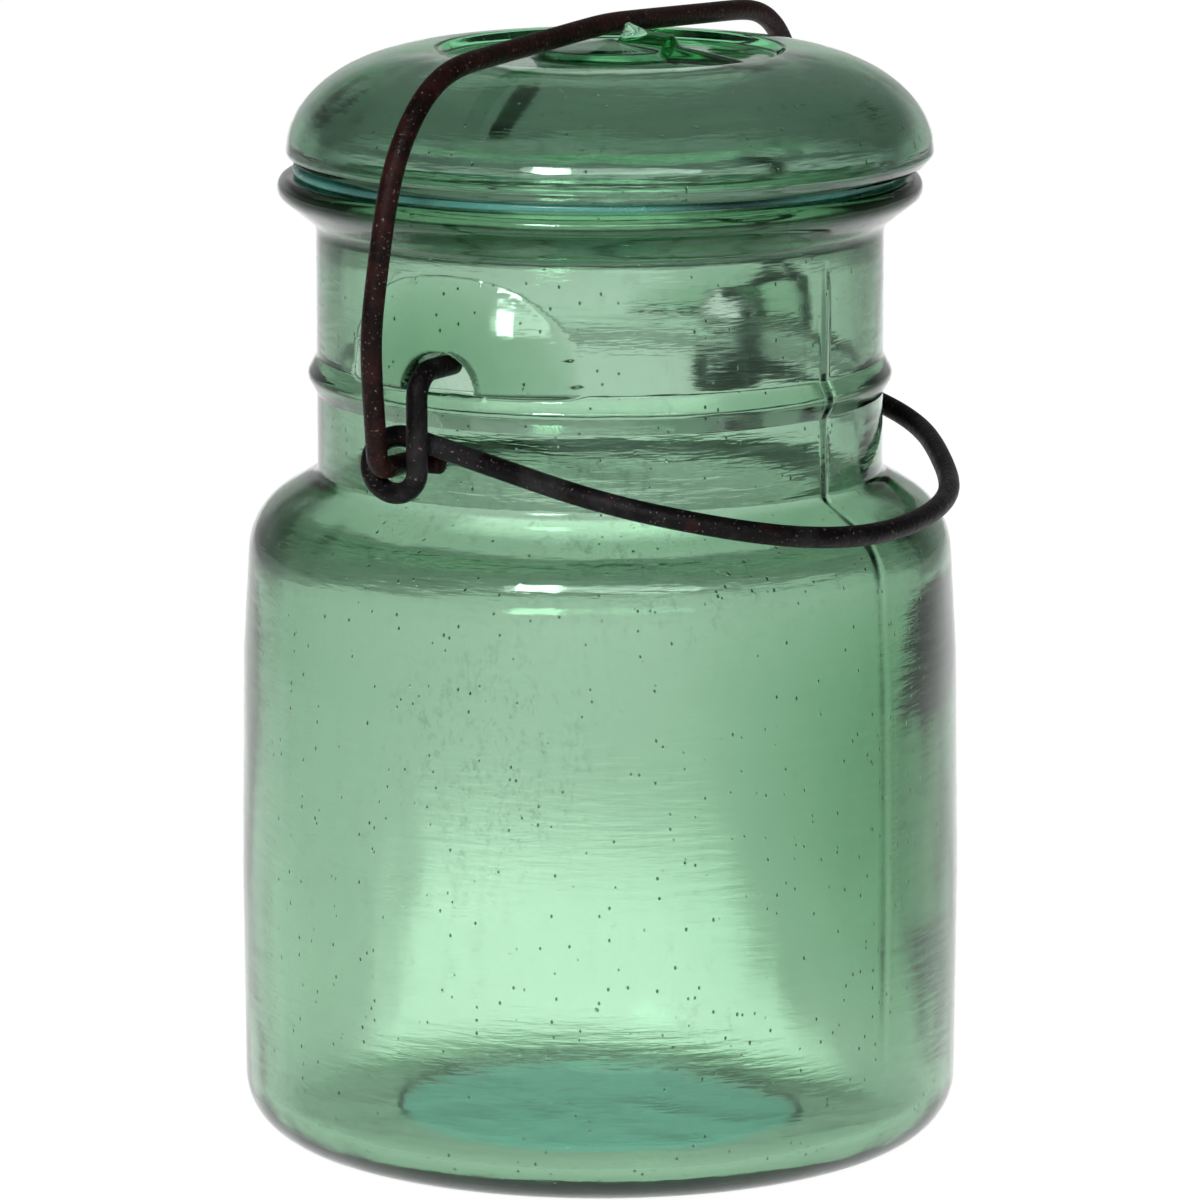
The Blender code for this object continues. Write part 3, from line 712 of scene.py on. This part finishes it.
class OBJECT_OT_lid(bpy.types.Operator):
    """Adds the domed lid"""

    bl_idname = "object.preserving_jar_lid"
    bl_label = "Glass lid"

    def execute(self, context):
        """Makes the lid's surface and its glass."""
        sizes = context.scene.lid_sizes
        low, high = LID_BOX
        centre = (0.5 * (low[0] + high[0]), 0.5 * (low[1] + high[1]))
        profile = lid_profile(sizes, low[2])
        angles = np.linspace(0.0, math.tau, 280, endpoint=False)
        points = turned(profile, angles, centre)
        turn = angles[None, :]
        wide = np.clip(profile[:, 0][:, None] / (30.0 * MM), 0.0, 1.0) ** 2
        drift = 0.10 * MM * ripple(turn, profile[:, 1][:, None] * 2.0, 23) * wide
        under = (np.arange(len(profile)) < np.argmin(profile[:, 1]))[:, None]
        points[..., 2] += np.where(under, drift * np.clip(
            (profile[:, 1][:, None] - low[2] - 0.5 * MM) / (3.0 * MM), 0.0, 1.0), 0.0)
        points = with_ridge(points, low[2], centre, sizes)
        glass = glass_material("lid_glass_old", sizes.glass, sizes.depth, (0.10, 0.10, 1.0))
        mesh = surface_mesh("lid_surface", within(points, "glass_lid"), poles=True)
        add_piece("lid_surface", mesh, glass, "lid", "glass_lid")
        return {"FINISHED"}


# Wires

def tube_points(path, radius, sides, seed):
    """Round tube: each point of the path plus the radius times cosine and sine along two
    directions carried along the path; rounded ends, and a slight unevenness in the radius."""
    tangent = np.gradient(path, axis=0)
    tangent /= np.linalg.norm(tangent, axis=1)[:, None]
    normal = np.empty_like(tangent)
    normal[0] = np.cross(tangent[0], (0.31, 0.2, 0.93))
    normal[0] /= np.linalg.norm(normal[0])
    for index in range(1, len(path)):
        carried = normal[index - 1] - tangent[index] * (normal[index - 1] @ tangent[index])
        normal[index] = carried / np.linalg.norm(carried)
    side = np.cross(tangent, normal)
    travel = np.concatenate([[0.0], np.cumsum(np.linalg.norm(np.diff(path, axis=0), axis=1))])
    angle = np.linspace(0.0, math.tau, sides, endpoint=False)
    wander = ripple(angle[None, :], travel[:, None] * 4.0, seed)
    size = radius * (0.985 + 0.012 * wander)
    ring = normal[:, None] * np.cos(angle)[None, :, None]
    ring = ring + side[:, None] * np.sin(angle)[None, :, None]
    body = path[:, None] + size[..., None] * ring
    start_tip = np.broadcast_to(path[0], (1, sides, 3))
    end_tip = np.broadcast_to(path[-1], (1, sides, 3))
    depth = 0.35 * radius
    bevel = np.radians([12.0, 40.0, 68.0])[:, None, None]
    start_cap = path[0] + tangent[0] * depth * (1.0 - np.cos(bevel)) + radius * ring[0] * (
        0.65 + 0.33 * np.sin(bevel))
    end_cap = path[-1] - tangent[-1] * depth * (1.0 - np.cos(bevel[::-1])) + radius * ring[-1] * (
        0.65 + 0.33 * np.sin(bevel[::-1]))
    middle = body[(travel > depth) & (travel < travel[-1] - depth)]
    return np.concatenate([start_tip, start_cap, middle, end_cap, end_tip])


def lever_path(lean):
    """Half of the lever's line at -X: pocket end, bend, leg, eye as a spiral, half the loop."""
    pivot = np.array(JOINT_PLACE["lever_swing"])
    eye = np.array(JOINT_PLACE["bail_swing"])
    offset, gap = 41.8 * MM, 2.9 * MM
    stub = rounded_path([
        ((-33.3 * MM, 0.0, pivot[2]), 0.0),
        ((-offset, 0.0, pivot[2]), 3.2 * MM),
        ((-offset, 0.0, eye[2]), 0.0),
    ])
    slope = math.radians(12.6)
    sweep = 1.5 * math.pi + slope
    turn = np.linspace(0.0, sweep, 44)[1:]
    spiral = np.stack([
        -offset + gap * turn / sweep,
        eye[1] - 3.8 * MM * np.cos(turn),
        eye[2] - 3.3 * MM * np.sin(turn),
    ], axis=-1)
    leave = spiral[-1]

    def at(across, reach):
        """Point of the arm at a distance from the middle plane and a reach toward -Y."""
        drop = (leave[1] + reach) * math.tan(slope)
        past = max(0.0, reach - 23.5 * MM) / (23.1 * MM)
        return (-across - lean * past ** 1.5, -reach, leave[2] - drop)

    arm = rounded_path([
        (tuple(leave), 0.0),
        (at(38.4 * MM, 8.0 * MM), 20.0 * MM),
        (at(38.4 * MM, 23.5 * MM), 20.0 * MM),
        (at(19.5 * MM, 43.0 * MM), 22.0 * MM),
        (at(6.0 * MM, 46.6 * MM), 22.0 * MM),
        (at(0.0, 46.6 * MM), 0.0),
    ], step=math.radians(4.0))
    return np.vstack([stub, spiral[:-1], arm])


def bail_path(spread):
    """Half of the bail's line at -X: hooked tip, foot, leg, shoulder and half of the bar."""
    eye = np.array(JOINT_PLACE["bail_swing"])
    bar = np.array([0.0, -1.03 * MM, 136.75 * MM])
    rise = (bar - eye) / np.linalg.norm(bar - eye)
    length = np.linalg.norm(bar - eye)

    def at(across, up):
        """Point at a distance from the middle plane and a distance from the eye to the bar."""
        return tuple(np.array([-across, 0.0, 0.0]) + eye + rise * up)

    tip = np.array(at(36.9 * MM, 0.0)) - np.array([0.0, 4.3 * MM, 0.0])
    return rounded_path([
        (tuple(tip), 0.0),
        (at(36.9 * MM, 0.0), 2.2 * MM),
        (at(44.4 * MM, 0.0), 2.6 * MM),
        (at(48.7 * MM, 16.5 * MM), 20.0 * MM),
        (at(46.9 * MM + spread, length - 11.5 * MM), 18.0 * MM),
        (at(39.2 * MM, length - 1.9 * MM), 13.0 * MM),
        (tuple(bar), 0.0),
    ], step=math.radians(5.0))


def whole(left, right, fixed, ease):
    """Both halves of a wire as one line, the second turned over to +X, with points at even steps.
    Past the fixed length at each end it is eased: a bell-weighted mean of its neighbours."""
    other = (right * np.array([-1.0, 1.0, 1.0]))[::-1][1:]
    line = np.vstack([left, other])
    travel = np.concatenate([[0.0], np.cumsum(np.linalg.norm(np.diff(line, axis=0), axis=1))])
    places = np.linspace(0.0, travel[-1], math.ceil(travel[-1] / WIRE_SPACING))
    line = np.stack([np.interp(places, travel, line[:, axis]) for axis in range(3)], axis=-1)
    reach = round(3.0 * ease / WIRE_SPACING)
    bell = np.exp(-0.5 * (np.arange(-reach, reach + 1) * WIRE_SPACING / ease) ** 2)
    bell /= bell.sum()
    padded = np.pad(line, ((reach, reach), (0, 0)), mode="edge")
    eased = np.stack([np.convolve(padded[:, axis], bell, "valid") for axis in range(3)], axis=-1)
    inward = np.minimum(places, travel[-1] - places)
    share = np.clip((inward - fixed) / (8.0 * MM), 0.0, 1.0)[:, None]
    share = share * share * (3.0 - 2.0 * share)
    return line + (eased - line) * share


class OBJECT_OT_wires(bpy.types.Operator):
    """Adds the lever wire and the bail wire"""

    bl_idname = "object.preserving_jar_wires"
    bl_label = "Lever and bail wires"

    def execute(self, context):
        """Makes both wires, each with its own iron."""
        sizes = context.scene.wire_sizes
        lean = 9.3 * MM
        lever = whole(lever_path(lean), lever_path(-lean), 42.0 * MM, 6.0 * MM)
        bail = whole(bail_path(0.0), bail_path(2.5 * MM), 14.0 * MM, 3.0 * MM)
        lever_iron = iron_material("lever_iron_aged", sizes.lever_colour, sizes.rust, 0.15, 0.8)
        bail_iron = iron_material("bail_iron_aged", sizes.bail_colour, sizes.rust, 0.9, 0.2)
        for name, line, iron, body, cad, slot, seed in (
            ("lever_surface", lever, lever_iron, "lever", "lever_wire", "lever_iron", 31),
            ("bail_surface", bail, bail_iron, "bail", "bail_wire", "bail_iron", 37),
        ):
            points = within(tube_points(line, sizes.radius, 24, seed), cad)
            mesh = surface_mesh(name, points, poles=True)
            add_piece(name, mesh, iron, body, cad)
        return {"FINISHED"}


# Stage

class OBJECT_OT_stage(bpy.types.Operator):
    """Adds the floor, the lights and the camera"""

    bl_idname = "object.preserving_jar_stage"
    bl_label = "Stage"

    def execute(self, context):
        """Makes the floor, the surroundings, the lights and the camera."""
        scene = context.scene
        settings = scene.stage_settings
        across = Vector((math.cos(settings.heading), -math.sin(settings.heading), 0.0))
        ahead = Vector((math.sin(settings.heading), math.cos(settings.heading), 0.0))

        floor_grid = np.array([
            (x, y, -0.3 * MM) for x in (-3.0, 3.0) for y in (-3.0, 3.0)
        ])
        mesh = bpy.data.meshes.new("stage_floor")
        mesh.from_pydata(floor_grid.tolist(), [], [(0, 2, 3, 1)])
        mesh.materials.append(self.floor_material(across, ahead))
        floor = bpy.data.objects.new("stage_floor", mesh)
        scene.collection.objects.link(floor)
        scene.world = self.studio_world(across)
        scene.view_settings.view_transform = "Standard"

        self.add_light(scene, "soft_key", 0.24, 0.25, 5.6, -0.98 * ahead - 0.36 * across, 0.60)
        self.add_light(scene, "soft_strip", 1.4, 0.20, 5.5, -1.10 * ahead + 0.02 * across, 0.66)

        camera_data = bpy.data.cameras.new("camera")
        camera_data.lens = settings.lens
        camera_data.sensor_width = 36.0
        camera_data.clip_start = 0.05
        camera = bpy.data.objects.new("camera", camera_data)
        camera.location = -settings.distance * ahead + Vector((0.0, 0.0, settings.height))
        camera.rotation_euler = (0.5 * math.pi - settings.pitch, 0.0, -settings.heading)
        scene.collection.objects.link(camera)
        scene.camera = camera
        return {"FINISHED"}

    def floor_material(self, across, ahead):
        """White floor that glows softly, with a pool of light in line behind the jar: the product
        of a step across the pool and two steps along it. Far to the sides the glow falls off, and
        the disc under the base has the colour of light that came through it."""
        material, nodes, links = new_material("floor_white")
        output = nodes.new("ShaderNodeOutputMaterial")
        shader = node(nodes, "ShaderNodeBsdfPrincipled", Roughness=0.9)
        shader.inputs["Base Color"].default_value = (0.14, 0.14, 0.14, 1.0)
        place = nodes.new("ShaderNodeTexCoord").outputs["Object"]
        reach = nodes.new("ShaderNodeVectorMath")
        reach.operation = "LENGTH"
        links.new(place, reach.inputs[0])
        disc = self.step(nodes, links, reach.outputs["Value"], 0.0262, 0.0236)
        links.new(
            blend(nodes, links, disc, (1.0, 1.0, 1.0), (0.48, 0.97, 1.0)),
            shader.inputs["Emission Color"])
        sideways = self.measure(nodes, links, place, across, True)
        along = self.measure(nodes, links, place, ahead, False)
        distant = self.measure(nodes, links, place, ahead, True)
        beside = reckon(nodes, links, "MULTIPLY_ADD", distant, -0.085, sideways)
        field = self.step(nodes, links, beside, 0.46, 0.14, 0.46, 0.97)
        wide = self.step(nodes, links, sideways, 0.036, 0.027)
        near = self.step(nodes, links, along, 0.22, 0.11)
        past = self.step(nodes, links, along, 0.016, 0.032)
        pool = reckon(
            nodes, links, "MULTIPLY", reckon(nodes, links, "MULTIPLY", wide, near), past)
        links.new(
            reckon(nodes, links, "MULTIPLY_ADD", pool, 0.85, field),
            shader.inputs["Emission Strength"])
        links.new(shader.outputs["BSDF"], output.inputs["Surface"])
        return material

    def studio_world(self, across):
        """Soft studio surroundings: even light, darker to the left and right and above."""
        world = bpy.data.worlds.new("studio")
        world.use_nodes = True
        nodes, links = world.node_tree.nodes, world.node_tree.links
        background = nodes["Background"]
        background.inputs["Color"].default_value = (1.0, 1.0, 1.0, 1.0)
        place = nodes.new("ShaderNodeTexCoord").outputs["Generated"]
        sideways = self.measure(nodes, links, place, across, True)
        upward = self.measure(nodes, links, place, (0.0, 0.0, 1.0), False)
        sides = self.step(nodes, links, sideways, 0.80, 0.27, 0.17, 0.54)
        above = self.step(nodes, links, upward, 0.12, 0.30, 1.0, 0.36)
        links.new(
            reckon(nodes, links, "MULTIPLY", sides, above), background.inputs["Strength"])
        return world

    def measure(self, nodes, links, vector, direction, both_ways):
        """Distance along a direction: the dot product, without its sign where asked."""
        product = nodes.new("ShaderNodeVectorMath")
        product.operation = "DOT_PRODUCT"
        product.inputs[1].default_value = direction
        links.new(vector, product.inputs[0])
        distance = product.outputs["Value"]
        return reckon(nodes, links, "ABSOLUTE", distance) if both_ways else distance

    def step(self, nodes, links, value, none, full, least=0.0, most=1.0):
        """Smooth step between two values of a distance."""
        return ramp(nodes, links, value, none, full, least, most, "SMOOTHSTEP")

    def add_light(self, scene, name, wide, tall, power, place, height):
        """Adds a soft rectangular light that points at the middle of the jar."""
        data = bpy.data.lights.new(name, "AREA")
        data.shape = "RECTANGLE"
        data.size = wide
        data.size_y = tall
        data.energy = power
        light = bpy.data.objects.new(name, data)
        light.location = place + Vector((0.0, 0.0, height))
        aim = Vector((0.0, 0.0, 0.07)) - light.location
        light.rotation_euler = aim.to_track_quat("-Z", "Y").to_euler()
        scene.collection.objects.link(light)


class VIEW3D_PT_preserving_jar(bpy.types.Panel):
    """Lists the pieces of the jar"""

    bl_idname = "VIEW3D_PT_preserving_jar"
    bl_label = "Preserving Jar"
    bl_space_type = "VIEW_3D"
    bl_region_type = "UI"
    bl_category = "Preserving Jar"

    def draw(self, context):
        """Shows one button for each operator."""
        for maker in OPERATORS:
            self.layout.operator(maker.bl_idname)


GROUPS = {
    "jar_sizes": JarSizes,
    "lid_sizes": LidSizes,
    "wire_sizes": WireSizes,
    "stage_settings": StageSettings,
}
OPERATORS = (OBJECT_OT_jar, OBJECT_OT_ring, OBJECT_OT_lid, OBJECT_OT_wires, OBJECT_OT_stage)


def register():
    """Registers the settings, the operators and the panel."""
    for group in GROUPS.values():
        bpy.utils.register_class(group)
    for name, group in GROUPS.items():
        setattr(bpy.types.Scene, name, bpy.props.PointerProperty(type=group))
    for maker in OPERATORS:
        bpy.utils.register_class(maker)
    bpy.utils.register_class(VIEW3D_PT_preserving_jar)


def unregister():
    """Takes them away again in the opposite order."""
    bpy.utils.unregister_class(VIEW3D_PT_preserving_jar)
    for maker in reversed(OPERATORS):
        bpy.utils.unregister_class(maker)
    for name, group in GROUPS.items():
        delattr(bpy.types.Scene, name)
        bpy.utils.unregister_class(group)


def main():
    register()
    bpy.ops.object.preserving_jar_body()
    bpy.ops.object.preserving_jar_ring()
    bpy.ops.object.preserving_jar_lid()
    bpy.ops.object.preserving_jar_wires()
    bpy.ops.object.preserving_jar_stage()


if __name__ == "__main__":
    main()
